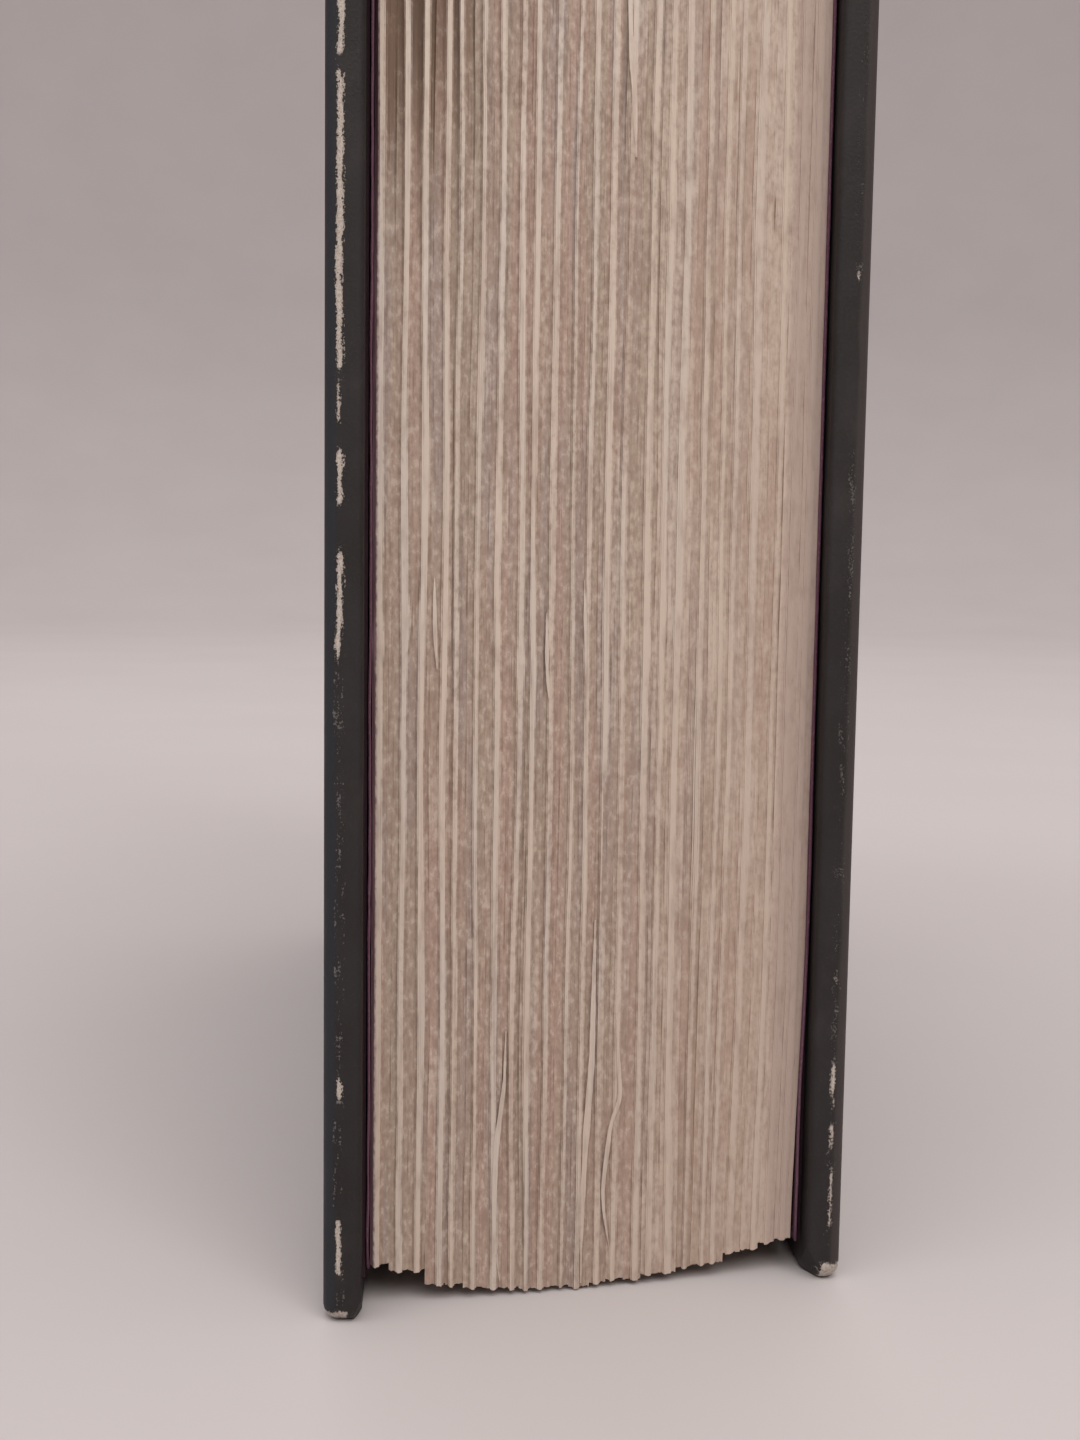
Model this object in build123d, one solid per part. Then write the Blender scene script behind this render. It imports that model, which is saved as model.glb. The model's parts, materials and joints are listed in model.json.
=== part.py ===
from build123d import *
import math
import os
import random

# Driving dimensions in millimetres: -Y is the fore edge, -X the front cover, +Z the head.
board_height = 241.0
board_depth = 151.0
cover_thickness = 3.4
cloth = 0.4
block_thickness = 40.0
signatures = 24
paper = 0.25
gauze = 0.15
slip = 0.3
glue = 0.05
fore_square = 2.6
tail_square = 3.3
joint_groove = 8.0
turn_in = 15.0
pastedown_margin = 3.0

# A used book leans: its front cover has slid this far ahead of its back cover.
lean = 7.0
# The middle leaves hang lower than the outer ones at the fore edge.
leaf_sag = 2.8
# How far the rough-cut leaves of one gathering stand in and out.
deckle = 1.0
# In shares of a gathering's width: where its proud ridge of leaves lies, and the lower shelf beside it.
ridge_start, ridge_end, shelf_end = 0.32, 0.58, 0.86
ridge_slope = 0.09
# How far the loose endpaper stands ahead of the rough leaves.
flyleaf_lead = 0.4

# Edges and corners of a covered board.
outer_arris = 1.4
inner_arris = 0.6
corner_round = 1.7
# The tail corners at the fore edge are crushed on the inside, by this much across, along and up.
front_bump = (1.0, 3.0, 2.3)
back_bump = (2.0, 3.6, 3.6)

# The spine: folds, mull, lining, bands, then the hollow under the inlay.
shoulder_depth = 7.0
fold_bulge = 0.4
lining_thickness = 0.2
tape_thickness = 0.3
inlay_thickness = 0.8
mull_margin = 20.0
lining_margin = 8.0
tape_length = 7.0
band_radius = 1.0
lining_inset = 1.0
band_inset = 0.6
flange_width = 28.0
flange_margin = 22.0

# The covering's bends in each joint groove and round the spine.
groove_lip = 0.7
groove_foot = 2.4
groove_radius = 0.8
spine_groove_radius = 0.9
spine_corner_radius = 1.2
spine_rise = 0.75

# The stack across the book, as distances from its middle plane.
leaf_face = block_thickness / 2 + paper
cover_inside = leaf_face + slip
cloth_inside = cover_inside + paper
cover_outside = cloth_inside + cover_thickness
board_middle = (cloth_inside + cover_outside) / 2

# The stack along the book, with the covered fore edge at 0 in the middle plane.
block_back = board_depth + shoulder_depth
mull_fore = block_back + fold_bulge + glue
lining_fore = mull_fore + gauze
band_fore = lining_fore + lining_thickness
inlay_fore = band_fore + tape_thickness + slip + cloth
spine_fore = inlay_fore + inlay_thickness
spine_back = spine_fore + cloth

# The cover joints turn on upright lines in the grooves, just outside the boards.
axis_depth = board_depth + joint_groove / 2
axis_side = cover_outside + 0.25
joint_gap = 0.2

slope = lean / (2 * board_middle)
past = 1.0
rough = random.Random(11)


def slid(x, y):
    """A point in plan, moved along with the lean of the book."""
    return (x, y + slope * x)


def upright_sheet(left, right, fore, back, low, high):
    """A slab across the book, following its lean."""
    corners = [slid(left, fore), slid(right, fore), slid(right, back), slid(left, back)]
    plan = make_face(Polyline(*corners, close=True))
    return Pos(0, 0, low) * extrude(plan, high - low)


def slab(inner, outer, fore, back, low, high):
    """A slab of a cover on the +X side."""
    size = Box(outer - inner, back - fore, high - low, align=(Align.MIN, Align.MIN, Align.MIN))
    return Pos(inner, fore, low) * size


def rough_edge(left, width):
    """The fore edge of one gathering in plan: a hollow, its ridge, a lower shelf and the next hollow."""
    tip = fore_square + rough.uniform(0.0, 0.45) * deckle
    floor = fore_square + rough.uniform(0.8, 1.0) * deckle
    shelf = (tip + floor) / 2 + rough.uniform(-0.2, 0.2) * deckle
    start = left + rough.uniform(-0.08, 0.08) * width
    return [
        slid(left, floor),
        slid(start + (ridge_start - ridge_slope) * width, floor - deckle / 10),
        slid(start + ridge_start * width, tip),
        slid(start + ridge_end * width, tip + deckle / 12),
        slid(start + (ridge_end + ridge_slope) * width, shelf),
        slid(left + shelf_end * width, shelf + deckle / 7),
        slid(left + width, floor),
    ]


def hanging_side(middle):
    """A gathering seen from the side: as tall as the rest, but hanging lower at the fore edge by its place."""
    drop = leaf_sag * (1 - abs(2 * middle / block_thickness) ** 3)
    fore_y = slid(middle, fore_square)[1]
    back_y = slid(middle, block_back)[1]
    reach = 5 * past
    leaf_height = board_height - 2 * tail_square
    overshoot = drop / (back_y - fore_y) * reach
    low_fore = tail_square - drop - overshoot
    low_back = tail_square + overshoot
    return make_face(
        Polyline(
            (fore_y - reach, low_fore),
            (back_y + reach, low_back),
            (back_y + reach, low_back + leaf_height),
            (fore_y - reach, low_fore + leaf_height),
            close=True,
        )
    )


def signature(index):
    """One gathering: rough leaves at the fore edge, a round fold at the spine, sagging in the middle."""
    width = block_thickness / signatures
    left = -block_thickness / 2 + index * width
    right = left + width
    middle = (left + right) / 2
    fore = rough_edge(left, width)
    fold = ThreePointArc(slid(right, block_back), slid(middle, block_back + fold_bulge), slid(left, block_back))
    sides = Line(fore[-1], slid(right, block_back)) + Line(slid(left, block_back), fore[0])
    plan = make_face(Polyline(*fore) + fold + sides)
    return extrude(plan, board_height) & Pos(left, 0, 0) * extrude(Plane.YZ * hanging_side(middle), width)


def text_block():
    gatherings = [signature(index) for index in range(signatures)]
    return gatherings[0].fuse(*gatherings[1:]).clean()


def flyleaf(side):
    """The loose endpaper, a little ahead of the rough leaves and as tall as the outermost of them."""
    inner, outer = sorted((side * block_thickness / 2, side * leaf_face))
    fore = fore_square - flyleaf_lead
    return upright_sheet(inner, outer, fore, block_back, tail_square, board_height - tail_square)


def spine_mull():
    """Gauze over the back folds and round both shoulders, up to the joints."""
    low, high = mull_margin, board_height - mull_margin
    sheet = upright_sheet(-leaf_face, leaf_face, mull_fore, mull_fore + gauze, low, high)
    for side in (-1, 1):
        inner, outer = sorted((side * leaf_face, side * (leaf_face + gauze)))
        sheet = sheet.fuse(upright_sheet(inner, outer, axis_depth + past, mull_fore + gauze, low, high))
    return sheet


def spine_lining():
    half = block_thickness / 2 - lining_inset
    back = lining_fore + lining_thickness
    return upright_sheet(-half, half, lining_fore, back, lining_margin, board_height - lining_margin)


def band(leaf_end, outward):
    """A head or tail band: a bead over the ends of the folds, on a tape glued down the spine."""
    half = block_thickness / 2 - band_inset
    band_back = band_fore + tape_thickness
    bead_z = leaf_end + outward * (band_radius + glue)
    start = (-half, slid(-half, band_back - band_radius)[1], bead_z)
    run = Plane(origin=start, x_dir=(0, 0, 1), z_dir=(1, slope, 0))
    bead = extrude(run * Circle(band_radius), 2 * half * math.hypot(1, slope))
    low, high = sorted((bead_z, leaf_end - outward * tape_length))
    return bead.fuse(upright_sheet(-half, half, band_fore, band_back, low, high))


def spine_inlay():
    half = cover_outside - cloth
    return upright_sheet(-half, half, inlay_fore, spine_fore, cloth, board_height - cloth)


def spine_covering():
    """Cloth round the inlay, down into both grooves, and turned in at head and tail."""
    corners = []
    for side in (1, -1):
        groove_x = side * (cover_inside + cloth)
        corner_x = side * cover_outside
        axis_y = axis_depth + slope * side * board_middle
        rise = [
            (groove_x, axis_y + joint_gap),
            slid(groove_x, block_back - spine_groove_radius),
            slid(corner_x, inlay_fore - spine_rise),
            slid(corner_x, spine_back),
        ]
        corners += rise if side == 1 else rise[::-1]
    bends = [spine_groove_radius, spine_groove_radius, spine_corner_radius]
    line = FilletPolyline(*corners, radius=bends + bends[::-1])
    sheet = extrude(make_face(offset(line, amount=cloth, side=Side.LEFT, closed=True)), board_height)
    half = cover_outside - cloth
    for low in (0, board_height - turn_in):
        sheet = sheet.fuse(upright_sheet(-half, half, inlay_fore - cloth, spine_fore, low, low + turn_in))
    return sheet - spine_inlay()


def crushed_off(bump, inset):
    """What a knock has taken off the inner tail corner: all that lies past a slanting plane."""
    inward = Vector(*[1 / reach for reach in bump]).normalized()
    on_plane = Vector(cloth_inside + bump[0], 0, 0) + inward * inset
    size = 10 * max(bump)
    block = Box(size, size, size, align=(Align.CENTER, Align.CENTER, Align.MIN))
    return Plane(origin=on_plane, z_dir=inward * -1) * block


def board_form(inset, bump):
    """A covered board on the +X side, or its core when inset by the covering."""
    inner, outer = cloth_inside + inset, cover_outside - inset
    form = slab(inner, outer, inset, board_depth, inset, board_height - inset)
    free_corners = form.edges().filter_by(Axis.X).group_by(Axis.Y)[0]
    form = fillet(free_corners, corner_round - inset)
    for face_index, radius in ((-1, outer_arris - inset), (0, inner_arris - inset / 2)):
        rim = form.faces().sort_by(Axis.X)[face_index].edges()
        form = fillet([edge for edge in rim if edge.center().Y < board_depth - glue], radius)
    return form - crushed_off(bump, inset)


def covering(bump):
    """Cloth over a board, turned in on three sides, with its half of the groove."""
    inside = cloth_inside + cloth
    window = slab(cloth_inside - past, inside, turn_in, board_depth + past, turn_in, board_height - turn_in)
    sheet = board_form(0, bump) - board_form(cloth, bump) - window
    line = FilletPolyline(
        (cover_outside, board_depth - past),
        (cover_outside, board_depth + groove_lip),
        (cover_inside + cloth, board_depth + groove_foot),
        (cover_inside + cloth, axis_depth - joint_gap),
        radius=groove_radius,
    )
    groove = extrude(make_face(offset(line, amount=cloth, side=Side.LEFT, closed=True)), board_height)
    low_trim = slab(cloth_inside, cover_outside + past, board_depth - 2 * past, board_depth, -past, outer_arris)
    high_trim = Pos(0, 0, board_height + past - outer_arris) * low_trim
    return sheet.fuse(groove - low_trim - high_trim)


def mull_flange():
    inside = cloth_inside + cloth
    fore = board_depth - flange_width
    return slab(inside - gauze, inside, fore, board_depth, flange_margin, board_height - flange_margin)


def pastedown():
    """Endpaper on a board: over the turn-ins, then down onto the board, and up again over the mull."""
    inside = cloth_inside + cloth
    far = board_height - pastedown_margin
    sheet = slab(cover_inside, cloth_inside, pastedown_margin, board_depth, pastedown_margin, far)
    sunk = slab(cloth_inside, inside, turn_in, board_depth, turn_in, board_height - turn_in)
    edge = turn_in + paper
    mull_edge = board_depth - flange_width - paper
    dip = slab(cover_inside, inside - paper, edge, mull_edge, edge, board_height - edge)
    shallow = inside - gauze - paper
    dip_by_mull = slab(cover_inside, shallow, edge, board_depth + past, edge, board_height - edge)
    return sheet.fuse(sunk) - dip - dip_by_mull - mull_flange()


def on_front(piece):
    """The same piece on the front cover, mirrored and slid forward."""
    return Pos(0, -slope * board_middle, 0) * mirror(piece, about=Plane.YZ)


def on_back(piece):
    return Pos(0, slope * board_middle, 0) * piece


parts = {
    "text_block": text_block(),
    "front_flyleaf": flyleaf(-1),
    "back_flyleaf": flyleaf(1),
    "spine_mull": spine_mull(),
    "spine_lining": spine_lining(),
    "head_band": band(board_height - tail_square, 1),
    "tail_band": band(tail_square, -1),
    "spine_inlay": spine_inlay(),
    "spine_covering": spine_covering(),
}
for cover, place, bump in (("front", on_front, front_bump), ("back", on_back, back_bump)):
    parts[cover + "_board"] = place(board_form(cloth, bump))
    parts[cover + "_covering"] = place(covering(bump))
    parts[cover + "_pastedown"] = place(pastedown())
    parts[cover + "_mull_flange"] = place(mull_flange())

# The origin is under the middle of the whole book, on the surface that it stands on.
whole = Compound(list(parts.values())).bounding_box()
to_origin = Pos(-whole.center().X, -whole.center().Y, -whole.min.Z)
os.makedirs("parts", exist_ok=True)
for node, piece in parts.items():
    export_step(to_origin * piece, f"parts/{node}.step")

for cover, side in (("front", -1), ("back", 1)):
    axis_y = axis_depth + side * slope * board_middle - whole.center().Y
    print(cover, "joint at x", round(side * axis_side, 3), "y", round(axis_y, 3))
print("size", whole.size, "moved by", to_origin.position)
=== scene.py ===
import json
import math

import bpy
import numpy as np
from mathutils import Matrix, Vector


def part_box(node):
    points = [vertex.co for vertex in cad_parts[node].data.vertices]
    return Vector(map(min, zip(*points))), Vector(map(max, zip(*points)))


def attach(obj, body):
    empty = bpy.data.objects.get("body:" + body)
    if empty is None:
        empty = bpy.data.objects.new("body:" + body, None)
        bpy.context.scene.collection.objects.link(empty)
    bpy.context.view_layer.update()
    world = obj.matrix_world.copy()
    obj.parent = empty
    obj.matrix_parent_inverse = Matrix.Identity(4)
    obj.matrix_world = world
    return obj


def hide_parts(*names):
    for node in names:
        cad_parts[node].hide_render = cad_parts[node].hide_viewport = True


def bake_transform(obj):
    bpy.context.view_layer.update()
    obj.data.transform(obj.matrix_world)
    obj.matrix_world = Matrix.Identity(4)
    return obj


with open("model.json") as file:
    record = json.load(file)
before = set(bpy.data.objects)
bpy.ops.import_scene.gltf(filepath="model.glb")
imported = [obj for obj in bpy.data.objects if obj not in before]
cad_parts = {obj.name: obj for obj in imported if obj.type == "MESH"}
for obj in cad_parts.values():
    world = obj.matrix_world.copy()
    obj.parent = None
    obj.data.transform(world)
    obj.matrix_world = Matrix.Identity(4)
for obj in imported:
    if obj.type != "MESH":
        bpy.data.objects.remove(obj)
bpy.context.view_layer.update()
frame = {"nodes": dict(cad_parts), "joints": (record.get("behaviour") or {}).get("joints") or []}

MM = 0.001

# Thickness of the covering.
cloth = 0.4 * MM

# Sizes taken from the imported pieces, in metres.
front_low, front_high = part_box("front_covering")
back_low, back_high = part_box("back_covering")
leaf_low, leaf_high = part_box("front_flyleaf")
head = front_high.z
outer_face = back_high.x
inner_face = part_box("back_pastedown")[0].x
half_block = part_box("text_block")[1].x
board_middle = (outer_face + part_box("back_board")[0].x - cloth) / 2
slope = (back_low.y - front_low.y) / (2 * board_middle)
fore_edge = (front_low.y + back_low.y) / 2
tail_square = leaf_low.z
leaf_height = leaf_high.z - leaf_low.z
spine_folds = leaf_high.y + slope * half_block - fore_edge
pasted_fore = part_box("front_pastedown")[0].y + slope * inner_face
joint = {entry["name"]: Vector(entry["pos_m"]) for entry in frame["joints"]}

# The leaves: gatherings across the block, the leaves of each, and the rows of points up each leaf.
gatherings = 24
leaves_each = 12
rows = 230
gathering_width = 2 * half_block / gatherings
leaf_width = gathering_width / leaves_each
# The loose endpaper stands this far ahead of the rough leaves, and the middle leaves hang this much lower.
flyleaf_lead = 0.4 * MM
leaf_sag = 2.8 * MM
first_tip = leaf_low.y - slope * leaf_low.x - fore_edge + flyleaf_lead


def srgb(red, green, blue):
    """A colour as it is seen on a screen, from 0 to 255, as the linear colour that shaders take."""
    seen = [value / 255 for value in (red, green, blue)]
    return tuple(v / 12.92 if v <= 0.04045 else ((v + 0.055) / 1.055) ** 2.4 for v in seen) + (1.0,)


# Browned paper, which marks the leaves' edges.
paper_brown = srgb(138, 116, 103)


class Paint:
    """A procedural material, built up from a few kinds of node."""

    def __init__(self, name, roughness, specular=0.3):
        self.material = bpy.data.materials.new(name)
        self.material.use_nodes = True
        self.tree = self.material.node_tree
        self.shader = self.tree.nodes["Principled BSDF"]
        self.shader.inputs["Roughness"].default_value = roughness
        self.shader.inputs["Specular IOR Level"].default_value = specular
        coordinates = self.add("ShaderNodeTexCoord").outputs
        self.place = coordinates["Object"]
        self.x, self.y, self.z = self.add("ShaderNodeSeparateXYZ", Vector=self.place).outputs
        self.facing = self.add("ShaderNodeSeparateXYZ", Vector=coordinates["Normal"]).outputs

    def add(self, kind, **inputs):
        node = self.tree.nodes.new(kind)
        for name, value in inputs.items():
            self.put(node.inputs[name], value)
        return node

    def put(self, socket, value):
        if isinstance(value, bpy.types.NodeSocket):
            self.tree.links.new(value, socket)
        else:
            socket.default_value = value

    def noise(self, grain, detail=2.0, roughness=0.5, shift=0.0):
        """Noise whose grains are about this large, in metres, along X, Y and Z."""
        scaled = self.add("ShaderNodeMapping", Vector=self.place)
        scaled.inputs["Scale"].default_value = [1 / size for size in grain]
        scaled.inputs["Location"].default_value = (shift, shift, shift)
        texture = self.add("ShaderNodeTexNoise", Vector=scaled.outputs["Vector"], Scale=1.0, Detail=detail)
        texture.inputs["Roughness"].default_value = roughness
        return texture.outputs["Fac"]

    def calc(self, operation, first, second=0.0, third=0.0):
        """The result of one operation of Blender's math node."""
        node = self.tree.nodes.new("ShaderNodeMath")
        node.operation = operation
        for socket, value in zip(node.inputs, (first, second, third)):
            self.put(socket, value)
        return node.outputs[0]

    def step(self, value, low, high, start=0.0, end=1.0):
        """A smooth step from start to end as the value goes from low to high."""
        node = self.add("ShaderNodeMapRange", Value=value)
        node.interpolation_type = "SMOOTHSTEP"
        for name, number in (("From Min", low), ("From Max", high), ("To Min", start), ("To Max", end)):
            node.inputs[name].default_value = number
        return node.outputs["Result"]

    def mix(self, factor, first, second):
        node = self.tree.nodes.new("ShaderNodeMix")
        node.data_type = "RGBA"
        self.put(node.inputs[0], factor)
        self.put(node.inputs[6], first)
        self.put(node.inputs[7], second)
        return node.outputs[2]

    def shaken(self, value, noise, size):
        """The value, moved up or down by up to half the size by the noise."""
        return self.calc("MULTIPLY_ADD", self.calc("SUBTRACT", noise, 0.5), size, value)

    def colour(self, value):
        self.put(self.shader.inputs["Base Color"], value)

    def bump(self, height, distance, normal=None):
        node = self.add("ShaderNodeBump", Height=height, Distance=distance, Strength=1.0)
        if normal is not None:
            self.put(node.inputs["Normal"], normal)
        self.put(self.shader.inputs["Normal"], node.outputs["Normal"])
        return node.outputs["Normal"]

    def stretches(self, spans, length):
        """A value along Z that swells to its own strength on each worn stretch, given in millimetres."""
        each_ramp = 7
        longest_end = 0.5
        total = 0.0
        for first in range(0, len(spans), each_ramp):
            node = self.add("ShaderNodeValToRGB", Fac=self.calc("DIVIDE", self.z, length))
            ramp = node.color_ramp
            ramp.elements[0].color = (0, 0, 0, 1)
            ramp.elements.remove(ramp.elements[1])
            for low, high, strength in spans[first:first + each_ramp]:
                end = min((high - low) / 4, longest_end)
                for height, value in ((low, 0), (low + end, strength), (high - end, strength), (high, 0)):
                    stop = ramp.elements.new(height * MM / length)
                    stop.color = (value, value, value, 1)
            total = self.calc("MAXIMUM", total, node.outputs["Color"])
        return total


def rough_part(paint):
    """Where the rough fore edge is, from 0 to 1, and how far behind the foremost leaf a point lies."""
    across = paint.calc("MULTIPLY", paint.x, slope)
    depth = paint.calc("SUBTRACT", paint.calc("SUBTRACT", paint.y, across), fore_edge + first_tip)
    upright = paint.step(paint.calc("ABSOLUTE", paint.facing[2]), 0.4, 0.7, 1.0, 0.0)
    rough = paint.calc("MULTIPLY", paint.step(depth, 3 * MM, 7 * MM, 1.0, 0.0), upright)
    return rough, depth


def paper_colour(paint, rough, recess_shade, hollow_shade, to_back):
    """Cream on the ridges; painted shade in the recessed bands, in the deep hollows and towards the tail,
    over the bands' own tones; browner on the last leaves.
    """
    band = paint.noise((1.5 * MM, 20 * MM, 60 * MM), 1.0, 0.4, 9.0)
    tint = paint.noise((1.2 * MM, 20 * MM, 34 * MM), 1.0, 0.4, 21.0)
    light = paint.mix(paint.step(tint, 0.42, 0.62), srgb(207, 193, 179), srgb(207, 196, 185))
    light = paint.mix(paint.calc("MULTIPLY", to_back, 0.8), light, srgb(197, 181, 166))
    dull = paint.mix(paint.step(band, 0.38, 0.6), srgb(177, 155, 142), srgb(172, 157, 142))
    dull = paint.mix(paint.step(tint, 0.5, 0.64), dull, srgb(167, 152, 144))
    dull = paint.mix(paint.calc("MULTIPLY", to_back, 0.85), dull, srgb(178, 158, 143))
    # Painted shade: the recessed bands take the darker colour.
    base = paint.mix(recess_shade, light, dull)
    # Painted shade: the deep hollows, most of them at the top of the front gatherings, are painted dark
    # brown.
    base = paint.mix(paint.calc("MULTIPLY", hollow_shade, 0.8), base, srgb(122, 99, 83))
    # Painted shade: the pages grow darker towards the tail.
    tail_shade = paint.step(paint.z, 130 * MM, 0.0, 0.0, 0.24)
    base = paint.mix(tail_shade, base, srgb(150, 122, 106))
    last_leaves = paint.step(paint.x, half_block - 3.1 * MM, half_block - 2.5 * MM, 0.0, 0.6)
    return paint.mix(paint.calc("MULTIPLY", last_leaves, rough), base, srgb(168, 148, 140))


def paper_marks(paint, base, mottle, rough, recess_shade, hollow_shade, to_back):
    """Clouds, streaks and specks on the rough edge, all fainter in the hollows.

    The streaks and specks also grow fainter towards the back cover.
    """
    cloudy = paint.noise((0.8 * MM, 5 * MM, 3.2 * MM), 2.0, 0.5, 2.0)
    streaks = paint.noise((0.3 * MM, 3 * MM, 14 * MM), 2.0, 0.5, 14.0)
    shown = paint.calc("MULTIPLY", paint.calc("MULTIPLY_ADD", hollow_shade, -0.8, 1.0), rough)
    clouded = paint.calc("MULTIPLY", paint.step(cloudy, 0.5, 0.75, 0.0, 0.3), shown)
    base = paint.mix(clouded, base, paper_brown)
    shown = paint.calc("MULTIPLY", shown, paint.step(to_back, 0.0, 0.8, 1.0, 0.4))
    streaked = paint.calc("MULTIPLY", paint.step(streaks, 0.5, 0.7, 0.0, 0.24), shown)
    base = paint.mix(streaked, base, paper_brown)
    specks = paint.calc("MULTIPLY", paint.calc("MULTIPLY_ADD", recess_shade, 0.38, 0.04), shown)
    dark_specks = paint.calc("MULTIPLY", paint.step(mottle, 0.48, 0.64), specks)
    base = paint.mix(dark_specks, base, paper_brown)
    pale_specks = paint.calc("MULTIPLY", paint.step(mottle, 0.46, 0.34), specks)
    return paint.mix(pale_specks, base, srgb(205, 190, 177))


def leaf_edges():
    """Rough fore edges, pale where they stand out and painted darker as shade where they lie back, with
    smooth ends.
    """
    paint = Paint("leaf_edges", 0.92, 0.1)
    mottle = paint.noise((0.46 * MM, 3 * MM, 0.9 * MM), 3.0, 0.6, 5.0)
    fibre = paint.noise((0.13 * MM, 0.2 * MM, 0.3 * MM), 2.0, 0.5, 3.0)
    lines = paint.noise((0.2 * MM, 70 * MM, 70 * MM), 3.0, 0.6, 7.0)
    rough, depth = rough_part(paint)
    shaken_depth = paint.shaken(depth, mottle, 0.3 * MM)
    # Painted shade: leaves lying back from the foremost are painted darker, where shade falls between the
    # ridges.
    recess_shade = paint.calc("MULTIPLY", paint.step(shaken_depth, 0.02 * MM, 0.3 * MM), rough)
    # Painted shade: the deepest hollows, which get the dark brown colour.
    hollow_shade = paint.calc("MULTIPLY", paint.step(shaken_depth, 0.6 * MM, 1.3 * MM), rough)
    to_back = paint.step(paint.x, -0.3 * half_block, half_block)
    base = paper_colour(paint, rough, recess_shade, hollow_shade, to_back)
    base = paper_marks(paint, base, mottle, rough, recess_shade, hollow_shade, to_back)
    # The purple endpaper has stained the leaf beside it.
    stained = paint.shaken(paint.x, mottle, 0.5 * MM)
    stained = paint.step(stained, 0.36 * MM - half_block, 0.06 * MM - half_block, 0.0, 0.9)
    base = paint.mix(paint.calc("MULTIPLY", stained, rough), base, srgb(94, 66, 78))
    smooth_edge = paint.calc("SUBTRACT", 1.0, rough)
    lined = paint.calc("MULTIPLY", paint.step(lines, 0.42, 0.7, 0.0, 0.6), smooth_edge)
    paint.colour(paint.mix(lined, base, paper_brown))
    paint.bump(fibre, 0.015 * MM, paint.bump(mottle, 0.03 * MM))
    return paint.material


def endpaper(name, edge_shade):
    """Dyed purple paper with loose fibres where it meets the leaves, with painted shade of this strength
    along its fore edge.
    """
    paint = Paint(name, 0.85, 0.2)
    rub = paint.noise((0.6 * MM, 1.5 * MM, 1.4 * MM), 4.0, 0.65)
    fibre = paint.noise((0.15 * MM, 0.2 * MM, 0.3 * MM), 2.0, 0.6, 2.0)
    base = paint.mix(paint.step(rub, 0.35, 0.65), srgb(84, 50, 66), srgb(98, 65, 80))
    outward = paint.shaken(paint.calc("ABSOLUTE", paint.x), rub, 0.3 * MM)
    fuzz = paint.step(outward, half_block + 0.24 * MM, half_block + 0.46 * MM, 0.75, 0.0)
    base = paint.mix(fuzz, base, srgb(104, 74, 88))
    base = paint.mix(paint.step(fibre, 0.5, 0.75, 0.0, 0.35), base, srgb(146, 122, 128))
    # Painted shade: near black along the pastedown's fore edge.
    inset = paint.calc("MULTIPLY_ADD", paint.x, -slope, paint.y)
    edge_shade_mask = paint.step(inset, pasted_fore + 3 * MM, pasted_fore + 1 * MM, 0.0, edge_shade)
    base = paint.mix(edge_shade_mask, base, srgb(36, 24, 29))
    paint.colour(base)
    paint.bump(fibre, 0.05 * MM)
    return paint.material


def whole_covering(paint, grain, cloudy, dust):
    """The covering where it isn't worn through: charcoal with grain, dust and scuffs, rubbed at its ends."""
    base = paint.mix(paint.step(cloudy, 0.35, 0.65), srgb(36, 33, 32), srgb(42, 39, 39))
    base = paint.mix(paint.step(grain, 0.5, 0.8, 0.0, 0.35), base, srgb(56, 52, 51))
    base = paint.mix(paint.step(dust, 0.68, 0.8, 0.0, 0.5), base, srgb(110, 102, 96))
    scuffs = paint.noise((9 * MM, 15 * MM, 13 * MM), 5.0, 0.72, 15.0)
    base = paint.mix(paint.step(scuffs, 0.5, 0.74, 0.0, 0.45), base, srgb(58, 54, 52))
    from_end = paint.calc("MINIMUM", paint.z, paint.calc("SUBTRACT", head, paint.z))
    from_end = paint.shaken(paint.shaken(from_end, dust, 2.4 * MM), cloudy, 4 * MM)
    rubbed = paint.step(from_end, 1.2 * MM, -0.4 * MM)
    return paint.mix(rubbed, base, srgb(84, 79, 76))


def past_arris(paint, inward, backward):
    """How far a point lies past the worn line of the fore-edge arris, which sways a little."""
    arris = 1.35 * MM
    sway = paint.noise((9 * MM, 9 * MM, 7 * MM), 2.0, 0.5, 12.0)
    line = paint.shaken(paint.calc("SUBTRACT", inward, backward), sway, 0.7 * MM)
    return paint.calc("SUBTRACT", line, arris)


def worn_line(paint, past, strength, jag, backward, edge):
    """The ragged wear of the arris. Strong wear keeps to the line, and faint wear is scattered beside it."""
    spindle = paint.noise((0.5 * MM, 0.6 * MM, 2.2 * MM), 3.0, 0.6, 3.0)
    off_line = paint.calc("ABSOLUTE", past)
    fall = paint.step(strength, 0.35, 0.7, 0.15 / MM, 2.3 / MM)
    far = paint.step(off_line, 0.4 * MM, 0.8 * MM, 0.0, 0.6)
    level = paint.calc("MULTIPLY_ADD", strength, 1.35, -0.35)
    near = paint.calc("SUBTRACT", level, paint.calc("MULTIPLY_ADD", off_line, fall, far))
    ragged = paint.shaken(paint.shaken(near, spindle, 2.3), jag, 2.8)
    on_fore_edge = paint.step(backward, 1.7 * MM, 1.1 * MM)
    return paint.calc("MULTIPLY", paint.step(ragged, *edge), on_fore_edge)


def worn_corner(paint, inward, backward, jag, top):
    """The bare, crushed tail corner at the fore edge, up to its top."""
    soft = paint.noise((0.7 * MM, 0.8 * MM, 0.8 * MM), 3.0, 0.5, 6.0)
    rise = paint.shaken(paint.shaken(paint.z, soft, 1.3 * MM), jag, 0.9 * MM)
    reach = paint.shaken(paint.shaken(inward, soft, 1.4 * MM), jag, 0.9 * MM)
    above_tail = paint.step(rise, 0.16 * MM, 0.3 * MM)
    corner = paint.calc("MULTIPLY", above_tail, paint.step(rise, top, 0.8 * top))
    corner = paint.calc("MULTIPLY", corner, paint.step(reach, 2.3 * MM, 2.1 * MM))
    return paint.calc("MULTIPLY", corner, paint.step(backward, 2.2 * MM, 1.2 * MM))


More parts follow.
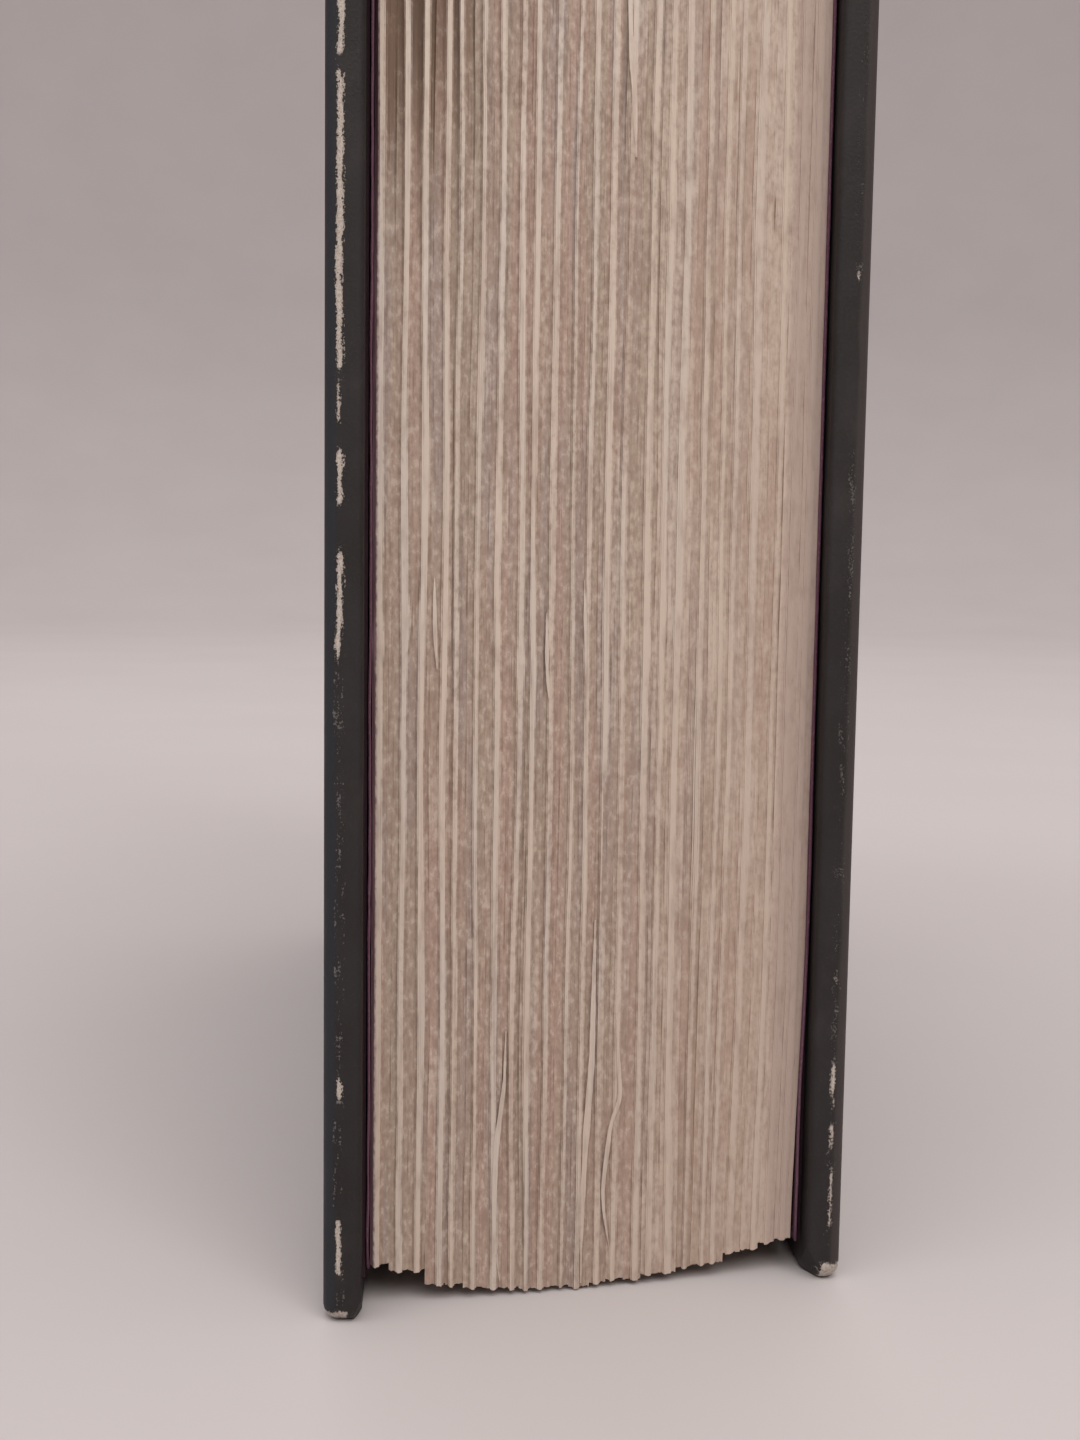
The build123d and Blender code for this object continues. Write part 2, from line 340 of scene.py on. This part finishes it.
def cover_paper(name, side, fore, worn, edge, corner_top, arris_light_colour):
    """Charcoal covering of one side, with painted light on its rounded fore-edge arris and the pale board
    showing where its fore edge is worn through.
    """
    paint = Paint(name, 0.6, 0.25)
    grain = paint.noise((0.25 * MM, 0.3 * MM, 0.3 * MM), 3.0, 0.6)
    cloudy = paint.noise((6 * MM, 12 * MM, 10 * MM), 3.0, 0.6, 4.0)
    dust = paint.noise((0.3 * MM, 0.4 * MM, 0.4 * MM), 3.0, 0.7, 8.0)
    jag = paint.noise((0.2 * MM, 0.22 * MM, 0.24 * MM), 4.0, 0.65, 1.0)
    inward = paint.calc("SUBTRACT", outer_face, paint.calc("MULTIPLY", paint.x, side))
    backward = paint.calc("SUBTRACT", paint.y, fore)
    past = past_arris(paint, inward, backward)
    # Painted light: the rounded arris by the fore edge takes its own colour, a bluish reflection on the front
    # board and a lighter lit tone on the back.
    by_fore_edge = paint.step(backward, 9 * MM, 1 * MM, 0.0, 0.8)
    arris_light = paint.calc("MULTIPLY", paint.step(past, 0.0, -0.6 * MM), by_fore_edge)
    base = paint.mix(arris_light, whole_covering(paint, grain, cloudy, dust), arris_light_colour)
    strength = paint.stretches(worn, head)
    corner = worn_corner(paint, inward, backward, jag, corner_top)
    wear = paint.calc("MAXIMUM", worn_line(paint, past, strength, jag, backward, edge), corner)
    bare = paint.mix(paint.step(jag, 0.4, 0.65), srgb(188, 179, 170), srgb(156, 144, 134))
    deep = paint.step(paint.calc("MAXIMUM", strength, corner), 0.4, 0.85)
    paint.colour(paint.mix(wear, base, paint.mix(deep, srgb(100, 96, 94), bare)))
    paint.put(paint.shader.inputs["Roughness"], paint.step(cloudy, 0.3, 0.7, 0.5, 0.66))
    paint.bump(wear, -0.08 * MM, paint.bump(grain, 0.05 * MM))
    return paint.material


def plain_stock(name, light, dark, height):
    """Card or lining paper: two near colours and a fine grain of this height."""
    grain = 0.3 * MM
    paint = Paint(name, 0.9, 0.2)
    cloudy = paint.noise((grain * 8,) * 3, 3.0, 0.6)
    fine = paint.noise((grain,) * 3, 3.0, 0.6, 6.0)
    base = paint.mix(paint.step(cloudy, 0.3, 0.7), light, dark)
    paint.colour(paint.mix(paint.step(fine, 0.45, 0.75, 0.0, 0.4), base, dark))
    paint.bump(fine, height)
    return paint.material


def wrapped_thread():
    """Headband: cream thread wound round a core, in fine ribs."""
    rib_spacing = 0.34558 * MM
    # Blender's bands follow each other at this distance when the scale is 1.
    band_spacing = math.pi / 10
    paint = Paint("wrapped_thread", 0.8, 0.2)
    ribs = paint.add("ShaderNodeTexWave", Vector=paint.place, Scale=band_spacing / rib_spacing)
    ribs.bands_direction = "X"
    ribs.inputs["Distortion"].default_value = 0.4
    rib = ribs.outputs["Fac"]
    paint.colour(paint.mix(rib, srgb(150, 136, 116), srgb(214, 204, 186)))
    paint.bump(rib, 0.15 * MM)
    return paint.material


def gauze():
    """Mull: an open weave of stiff cotton threads."""
    thread_spacing = 0.9 * MM
    paint = Paint("gauze", 0.95, 0.1)
    threads = []
    for axis in (paint.y, paint.z):
        turn = paint.calc("SINE", paint.calc("MULTIPLY", axis, 2 * math.pi / thread_spacing))
        threads.append(paint.step(turn, 0.2, 0.9))
    thread = paint.calc("MAXIMUM", *threads)
    paint.colour(paint.mix(thread, srgb(150, 138, 118), srgb(214, 206, 190)))
    paint.bump(thread, 0.1 * MM)
    return paint.material


def add_piece(name, points, faces, material, body=None, smooth=False):
    """A mesh piece with one material, which rides on a body when one is given."""
    mesh = bpy.data.meshes.new(name)
    mesh.from_pydata(np.reshape(points, (-1, 3)).tolist(), [], faces)
    mesh.polygons.foreach_set("use_smooth", [smooth] * len(mesh.polygons))
    mesh.materials.append(material)
    mesh.update()
    piece = bpy.data.objects.new(name, mesh)
    bpy.context.scene.collection.objects.link(piece)
    if body is not None:
        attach(piece, body)
    return piece


def smooth(value):
    """A smooth step from 0 to 1."""
    part = np.clip(value, 0, 1)
    return part * part * (3 - 2 * part)


def wander(dice, heights, spacing, size):
    """A random line over the heights, with a new value at each spacing and smooth turns in between."""
    place = (heights - heights[0]) / spacing
    low = np.floor(place).astype(int)
    values = dice.normal(0, size, low[-1] + 2)
    part = smooth(place - low)
    return values[low] * (1 - part) + values[low + 1] * part


def column_faces(row_count, around, first):
    """Quads round a column of rows, with a cap at each end. The column's points start at the first."""
    faces = []
    for row in range(row_count - 1):
        start = first + row * around
        for corner in range(around):
            here = start + corner
            following = start + (corner + 1) % around
            faces.append((here, following, following + around, here + around))
    faces.append(tuple(range(first + around - 1, first - 1, -1)))
    top = first + (row_count - 1) * around
    faces.append(tuple(range(top, top + around)))
    return faces


def leaf_column(fore_x, fore_y, fore_z, fold_x, fold_y, fold_z, half):
    """The four upright lines of one leaf, two at its rough edge and two at its fold, at every row."""
    points = np.zeros((len(fore_z), 4, 3))
    corners = [
        (fore_x - half, fore_y, fore_z),
        (fore_x + half, fore_y, fore_z),
        (fold_x + half, fold_y, fold_z),
        (fold_x - half, fold_y, fold_z),
    ]
    for number, (x, y, z) in enumerate(corners):
        points[:, number, 0] = x
        points[:, number, 1] = y
        points[:, number, 2] = z
    points[:, :, 1] += fore_edge + slope * points[:, :, 0]
    return points


def fanned(x, heights):
    """How far the fore edge of a leaf has moved across: the outer leaves spread towards the covers."""
    to_back = smooth((x / half_block - 0.3) / 0.7) * (0.68 * smooth(heights / (36 * MM)) - 0.35)
    to_front = smooth((-x / half_block - 0.88) / 0.12) * 0.14
    return (to_back - to_front) * MM


def tail_of(x):
    """The height of a leaf's tail at the fore edge. The leaves hang lowest in the middle, in a few steps."""
    across = abs(x) / half_block
    steps = ((-15 * MM, 0.8 * MM), (0.0, -0.2 * MM), (13 * MM, 0.1 * MM), (half_block, 0.5 * MM))
    lift = next(lift for end, lift in steps if x <= end)
    return tail_square - leaf_sag * (1 - across**2) + lift


def gape_at(x, heights):
    """How much deeper a leaf lies where the leaves gape, in a few narrow gaps at the fore edge."""
    deepest = 0.25 * MM
    gapes = (
        (1.4 * MM, 94 * MM, 124 * MM, 0.24 * MM),
        (1.1 * MM, 54 * MM, 60 * MM, 0.12 * MM),
        (0.9 * MM, 34 * MM, 50 * MM, 0.14 * MM),
        (15.2 * MM, 97 * MM, 101 * MM, 0.1 * MM),
    )
    deeper = np.zeros(len(heights))
    for gap_x, low, high, half in gapes:
        part = np.clip((heights - low) / (high - low), 0, 1)
        deeper += smooth(1.7 - abs(x - gap_x) / half) * np.sin(part * math.pi) * deepest
    return deeper


def swelling(heights, middle, half):
    """A smooth swelling, 1 at its middle and 0 beyond half its length."""
    return smooth(1 - np.abs(heights - middle) / half)


def leaf_depths(dice, index, heights):
    """How far back each leaf of a gathering lies, and its share of the band, from 0 on the ridge to 1.

    The ridge is counted in leaves across the gathering. The place goes from 0 at the front to 1 at the back.
    """
    place = (index + 0.5) / gatherings
    band = (0.36 - 0.26 * place) * dice.uniform(0.85, 1.15) * MM
    band = band * (1 + 4.4 * smooth((0.36 - place) / 0.36) * smooth((heights - 84 * MM) / (36 * MM)))
    ridge = dice.uniform(3.0, 8.0) + wander(dice, heights, 24 * MM, 0.5) + wander(dice, heights, 7 * MM, 0.18)
    ridge_half = dice.uniform(0.4, 1.2) + wander(dice, heights, 9 * MM, 0.12)
    if index == 0:
        ridge = 3.4 + wander(dice, heights, 7 * MM, 0.18)
    tear = swelling(heights, dice.uniform(55, 62) * MM, dice.uniform(1.8, 4.0) * MM) * (1 - place) * 1.3
    ridge = ridge + tear * dice.uniform(-1.2, 1.2)
    ridge_half = ridge_half + tear * dice.uniform(0.0, 1.0)
    ridge_tip = dice.uniform(0.0, 0.1) * MM - tear * 0.06 * MM
    second = (ridge + dice.uniform(4.5, 7.5)) % leaves_each
    second_share = dice.uniform(0.0, 0.3) * place
    if index >= gatherings - 2:
        band, second_share = 0.1 * MM, 0.0
    swell = wander(dice, heights, 14 * MM, 0.04 * MM)
    tuft = wander(dice, heights, 2.2 * MM, 0.045 * MM)
    depths, backs = [], []
    ridge_slope = 2.2
    for leaf in range(leaves_each):
        back = smooth((np.abs(leaf - ridge) - ridge_half) / ridge_slope)
        beside = smooth((np.abs(leaf - second) - 0.3) / 1.2)
        back = np.minimum(back, 1 - second_share * (1 - beside))
        depth = first_tip + ridge_tip + back * band + swell + dice.uniform(-0.01, 0.01) * MM
        rough = wander(dice, heights, 5 * MM, 0.014 * MM) + wander(dice, heights, 1.1 * MM, 0.018 * MM) + tuft
        depths.append(depth + rough * (0.25 + 0.75 * back) * (1 - 0.5 * place))
        backs.append(back)
    return depths, backs


def build_gatherings(material):
    """Every gathering of leaves, each leaf a sheet from its rough edge to its fold."""
    dice = np.random.default_rng(7)
    heights = np.linspace(0, leaf_height, rows)
    fold_z = np.linspace(tail_square, tail_square + leaf_height, rows)
    fold_bulge = 0.4 * MM
    half_leaf = leaf_width * 0.56
    borders = []
    for _ in range(gatherings + 1):
        border = wander(dice, heights, 24 * MM, 0.09 * MM) + wander(dice, heights, 8 * MM, 0.03 * MM)
        borders.append(border)
    borders[0] = borders[0] * 0.2
    borders[-1] = borders[-1] * 0.2
    for index in range(gatherings):
        left = -half_block + index * gathering_width
        depths, backs = leaf_depths(dice, index, heights)
        tail = tail_of(left + gathering_width / 2) + dice.uniform(-0.18, 0.18) * MM
        points, faces = [], []
        for leaf in range(leaves_each):
            share = (leaf + 0.5) / leaves_each
            fold_x = left + share * gathering_width
            own_tail = tail + dice.uniform(-0.05, 0.05) * MM + 0.16 * MM * (backs[leaf][0] - 0.6)
            fore_z = np.linspace(own_tail, own_tail + leaf_height, rows)
            border = borders[index] * (1 - share) + borders[index + 1] * share
            fore_x = fold_x + border + fanned(fold_x, fore_z)
            fore_x = fore_x + wander(dice, heights, 7 * MM, 0.005 * MM)
            fore_y = depths[leaf] + gape_at(fold_x, fore_z)
            fold_y = spine_folds + fold_bulge * (1 - (2 * share - 1) ** 2)
            faces += column_faces(rows, 4, len(points) * rows * 4)
            points.append(leaf_column(fore_x, fore_y, fore_z, fold_x, fold_y, fold_z, half_leaf))
        piece = add_piece(f"gathering_{index + 1:02d}", np.array(points), faces, material, "block")
        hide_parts("text_block")


def stray_paths():
    """The stray leaf edges, as half a thickness and the places (x, z) it runs through from the top, in mm."""
    return [
        (0.22, [
            (-8.0, 25), (-8.1, 20), (-8.5, 17), (-8.8, 14),
            (-8.9, 9.8), (-8.9, 6.7), (-8.7, 4.4), (-8.3, 1.6),
        ]),
        (0.30, [(0.1, 35), (0.0, 22), (-0.2, 19), (-0.5, 13.5), (-0.7, 7.8), (-0.7, 0.7)]),
        (0.20, [
            (2.3, 28), (2.5, 22), (2.8, 18.1), (1.9, 16.2),
            (1.5, 12.4), (1.2, 9.6), (1.4, 7.1), (2.1, 3.2),
        ]),
        (0.26, [(1.7, 119), (1.9, 113), (2.3, 108.6), (2.6, 103)]),
        (0.18, [(-14.8, 66), (-14.7, 61), (-14.5, 58)]),
        (0.16, [(-4.8, 63), (-4.7, 57.5), (-4.3, 54.2)]),
        (0.14, [(-1.4, 66), (-1.2, 58.6)]),
    ]


def build_stray_leaves(material):
    """Leaf edges that have come forward or cross their neighbours."""
    dice = np.random.default_rng(31)
    row_spacing = 0.6 * MM
    inner_depth = 1.6 * MM
    points, faces = [], []
    count = 0
    for half, path in stray_paths():
        places = np.array(path[::-1]) * MM
        low, high = places[0, 1], places[-1, 1]
        heights = np.linspace(low, high, max(8, int((high - low) / row_spacing)))
        x = np.interp(heights, places[:, 1], places[:, 0])
        for _ in range(3):
            x[1:-1] = (x[:-2] + 2 * x[1:-1] + x[2:]) / 4
        part = (heights - heights[0]) / (heights[-1] - heights[0])
        swell = np.sin(np.clip(part, 0.04, 0.96) * math.pi) ** 0.6
        rough = 1 + wander(dice, heights, 1.3 * MM, 0.12)
        fore_y = first_tip + (0.22 - 0.26 * swell) * MM + wander(dice, heights, 1.5 * MM, 0.02 * MM)
        half_leaf = half * MM * swell * rough
        column = leaf_column(x, fore_y, heights, x, first_tip + inner_depth, heights, half_leaf)
        faces += column_faces(len(heights), 4, count)
        points.append(column.reshape(-1, 3))
        count += len(heights) * 4
    piece = add_piece("stray_leaves", np.concatenate(points), faces, material, "block")
    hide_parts("text_block")


def thick_grid(name, points, offset, material, body=None):
    """A closed sheet: a grid of points, the same grid moved by the offset, and a rim between them."""
    row_count, column_count = points.shape[:2]
    total = row_count * column_count
    both = np.concatenate([points.reshape(-1, 3), (points + offset).reshape(-1, 3)])
    faces = []
    for row in range(row_count - 1):
        for column in range(column_count - 1):
            here = row * column_count + column
            above = here + column_count
            faces.append((here, here + 1, above + 1, above))
            faces.append((total + here, total + above, total + above + 1, total + here + 1))
    rim = list(range(column_count))
    rim += [row * column_count + column_count - 1 for row in range(1, row_count)]
    rim += [(row_count - 1) * column_count + column for column in range(column_count - 2, -1, -1)]
    rim += [row * column_count for row in range(row_count - 2, 0, -1)]
    for here, following in zip(rim, rim[1:] + rim[:1]):
        faces.append((here, total + here, total + following, following))
    return add_piece(name, both, faces, material, body, smooth=True)


def build_flyleaf(side, lifted, corner, material):
    """A loose endpaper, with its fore edge lifted towards its board and its tail corner worn round."""
    dice = np.random.default_rng(20 + side)
    name = "front" if side < 0 else "back"
    share = np.linspace(0, 1, 120)
    heights = tail_square + share * leaf_height
    ragged = wander(dice, heights, 3 * MM, 0.04 * MM) + wander(dice, heights, 30 * MM, 0.08 * MM)
    frayed = wander(dice, heights, 2.1 * MM, 0.03 * MM) if lifted else 0.0
    depths = np.concatenate([np.linspace(0, 1, 12) ** 1.5 * 10 * MM, np.linspace(14, 154, 15) * MM])
    points = np.zeros((len(heights), len(depths), 3))
    for column, depth in enumerate(depths):
        near = math.exp(-((depth / (3.0 * MM)) ** 2))
        follow = math.exp(-depth / (40 * MM))
        x = half_block + 0.02 * MM + (lifted + frayed) * near
        x = x + np.maximum(side * fanned(side * half_block, heights), -lifted) * follow
        turn = 1 - min(depth / corner, 1) if corner else 0.0
        tail = tail_square + corner * 1.6 * (1 - math.sqrt(1 - turn**2))
        points[:, column, 0] = side * x
        points[:, column, 1] = first_tip - flyleaf_lead + depth + ragged * near
        points[:, column, 2] = tail + share * (tail_square + leaf_height - tail)
    points[:, :, 1] = np.minimum(points[:, :, 1], spine_folds)
    points[:, :, 1] += fore_edge + slope * side * half_block
    thickness = 0.2 * MM
    offset = np.array((side * thickness, 0, 0))
    piece = thick_grid(f"{name}_loose_endpaper", points, offset, material, "block")
    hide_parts(f"{name}_flyleaf")


def build_joint_strip(side, name, nearest, thickness, fore, back, low, material):
    """A strip of sheet through a joint groove, from fore to back of the hinge."""
    axis = joint["front_cover_hinge" if side < 0 else "back_cover_hinge"]
    heights = np.linspace(low, head - low, 40)
    depths = np.linspace(fore, back, 17)
    points = np.zeros((len(heights), len(depths), 3))
    points[:, :, 0] = side * nearest
    points[:, :, 1] = axis.y + depths[None, :]
    points[:, :, 2] = heights[:, None]
    piece = thick_grid(name, points, np.array((side * thickness, 0, 0)), material)
    if side < 0:
        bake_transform(piece)
    else:
        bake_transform(piece)


def wear_of_front():
    """Worn stretches of the front board's fore-edge arris, as (low, high, strength) in millimetres."""
    return [
        (1.0, 3.6, 0.36), (3.9, 10.4, 0.9), (10.8, 20, 0.3), (20.3, 22.9, 0.95), (23.4, 50, 0.32),
        (50.4, 58.6, 0.38), (58.9, 68.9, 0.97), (71.6, 77.4, 0.95), (78.2, 83, 0.74), (83, 108.1, 1.04),
        (108.2, 127, 1.0), (130, 158, 0.9), (161, 192, 0.42), (196, 229, 0.92),
    ]


def wear_of_back():
    """Worn stretches of the back board's fore-edge arris, in the same form."""
    return [
        (4.8, 11.6, 0.92), (12.2, 15.6, 0.84), (16.6, 21.8, 0.9), (22.4, 28, 0.34), (28, 30.6, 0.66),
        (31, 46.5, 0.3), (46.5, 50, 0.5), (50, 79, 0.33), (92.6, 94.4, 0.86), (95, 120, 0.28),
        (130, 172, 0.34), (190, 226, 0.66),
    ]


def dress(node, material):
    """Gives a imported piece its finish."""
    for entry in frame["nodes"][node].material_slots:
        entry.material = material


def build_camera():
    """The photograph's view: close to the fore edge, below its middle and looking slightly down."""
    distance, sideways, height = 140.4 * MM, -14.7 * MM, 66.8 * MM
    turn, down, roll = math.radians(-3.79), math.radians(5.34), math.radians(0.8)
    right = Vector((math.cos(turn), math.sin(turn), 0))
    level = Vector((-math.sin(turn), math.cos(turn), 0))
    up = Vector((0, 0, 1))
    ahead = level * math.cos(down) - up * math.sin(down)
    above = up * math.cos(down) + level * math.sin(down)
    tilted_right = right * math.cos(roll) + above * math.sin(roll)
    tilted_up = above * math.cos(roll) - right * math.sin(roll)
    data = bpy.data.cameras.new("camera")
    data.sensor_width = 36.0
    data.lens = 40.0
    data.clip_start = 0.01
    camera = bpy.data.objects.new("camera", data)
    bpy.context.scene.collection.objects.link(camera)
    matrix = Matrix((tilted_right, tilted_up, -ahead)).transposed().to_4x4()
    matrix.translation = Vector((sideways, fore_edge - distance, height))
    camera.matrix_world = matrix
    bpy.context.scene.camera = camera


def build_floor():
    """A plain pale floor that rises into a wall all round, in one wide curve."""
    flat, bend, wall_top, parts, sides = 1.5, 1.7, 2.0, 20, 96
    profile = [(flat - 0.05, 0.0)]
    for part in range(parts + 1):
        angle = math.radians(90 * part / parts)
        profile.append((flat + bend * math.sin(angle), bend * (1 - math.cos(angle))))
    profile.append((flat + bend, wall_top))
    points, faces = [], [tuple(range(sides))]
    for number, (radius, z) in enumerate(profile):
        for side in range(sides):
            turn = 2 * math.pi * side / sides
            points.append((radius * math.cos(turn), radius * math.sin(turn), z))
            if number:
                here, following = number * sides + side, number * sides + (side + 1) % sides
                faces.append((here, following, following - sides, here - sides))
    mesh = bpy.data.meshes.new("floor")
    mesh.from_pydata(points, [], faces)
    mesh.polygons.foreach_set("use_smooth", [True] * len(faces))
    paint = Paint("floor", 0.95, 0.1)
    cloudy = paint.noise((0.12, 0.12, 0.12), 3.0, 0.5)
    paint.colour(paint.mix(cloudy, srgb(197, 192, 191), srgb(191, 185, 184)))
    mesh.materials.append(paint.material)
    floor = bpy.data.objects.new("floor", mesh)
    bpy.context.scene.collection.objects.link(floor)


def add_light(name, place, aim, size, power, colour):
    """A square area light, pointed at its aim."""
    data = bpy.data.lights.new(name, "AREA")
    data.size = size
    data.energy = power
    data.color = colour
    lamp = bpy.data.objects.new(name, data)
    lamp.location = place
    lamp.rotation_euler = (Vector(aim) - Vector(place)).to_track_quat("-Z", "Y").to_euler()
    bpy.context.scene.collection.objects.link(lamp)


def build_light():
    """Soft room light: a warm key from above the front, a broad cool fill and a weaker light from behind."""
    middle = (0, fore_edge, head * 0.35)
    add_light("key", (0.26, -0.9, 1.1), middle, 0.9, 10.0, (1.0, 0.97, 0.93))
    add_light("fill", (-1.2, -1.2, 1.9), middle, 2.0, 15.0, (0.94, 0.97, 1.0))
    add_light("behind", (0.2, 1.3, 1.7), middle, 1.6, 9.0, (1.0, 0.97, 0.95))
    world = bpy.data.worlds.new("room")
    world.use_nodes = True
    backdrop = world.node_tree.nodes["Background"]
    backdrop.inputs["Color"].default_value = srgb(214, 206, 205)
    backdrop.inputs["Strength"].default_value = 1.15
    bpy.context.scene.world = world


def dress_covers():
    """Finishes the covering, and returns the materials of its front and back for the joints."""
    # The last colour of each is painted light on the arris: bluish on the front, lighter on the back, the
    # covering's own colour on the spine.
    front = cover_paper(
        "front_cover_paper", -1, front_low.y, wear_of_front(), (0.3, 0.44), 1.3 * MM, srgb(38, 40, 45)
    )
    back = cover_paper(
        "back_cover_paper", 1, back_low.y, wear_of_back(), (0.2, 0.62), 2.1 * MM, srgb(62, 56, 54)
    )
    unworn, never = [(0, 1, 0.0)], (2.0, 3.0)
    spine = cover_paper("spine_paper", 1, front_low.y, unworn, never, 0.0, srgb(36, 33, 32))
    dress("front_covering", front)
    dress("back_covering", back)
    dress("spine_covering", spine)
    return front, back


def dress_insides():
    """Finishes the boards, the linings, the mull and the bands."""
    card = plain_stock("board_card", srgb(196, 180, 160), srgb(150, 132, 112), 0.05 * MM)
    kraft = plain_stock("kraft_lining", srgb(186, 160, 124), srgb(150, 124, 92), 0.04 * MM)
    mull = gauze()
    thread = wrapped_thread()
    for node in ("front_board", "back_board", "spine_inlay"):
        dress(node, card)
    for node in ("spine_mull", "front_mull_flange", "back_mull_flange"):
        dress(node, mull)
    for node in ("head_band", "tail_band"):
        dress(node, thread)
    dress("spine_lining", kraft)


def build_joints(front_paper, back_paper, purple):
    """The covering and the endpaper through both joint grooves."""
    cloth_x, cloth_thickness, cloth_end = inner_face + cloth + 0.02 * MM, 0.08 * MM, 0.3 * MM
    paper_x, paper_thickness, paper_end = inner_face - 0.13 * MM, 0.09 * MM, 3.4 * MM
    for side, name, paper in ((-1, "front", front_paper), (1, "back", back_paper)):
        build_joint_strip(
            side, f"{name}_joint_cloth", cloth_x, cloth_thickness,
            -2.3 * MM, 2.3 * MM, cloth_end, paper,
        )
        build_joint_strip(
            side, f"{name}_joint_endpaper", paper_x, paper_thickness,
            -6.0 * MM, 2.6 * MM, paper_end, purple,
        )


def build_book():
    """All the pieces that the scene adds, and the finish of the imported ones."""
    leaves = leaf_edges()
    build_gatherings(leaves)
    build_stray_leaves(leaves)
    purple = endpaper("endpaper", 0.0)
    shaded_purple = endpaper("shaded_endpaper", 0.8)
    build_flyleaf(-1, 0.06 * MM, 1.5 * MM, purple)
    build_flyleaf(1, 0.0, 0.0, purple)
    # The pastedowns carry painted shade along their fore edges.
    for node in ("front_pastedown", "back_pastedown"):
        dress(node, shaded_purple)
    front_paper, back_paper = dress_covers()
    dress_insides()
    build_joints(front_paper, back_paper, purple)


build_book()
build_camera()
build_floor()
build_light()
bpy.context.scene.view_settings.view_transform = "Standard"
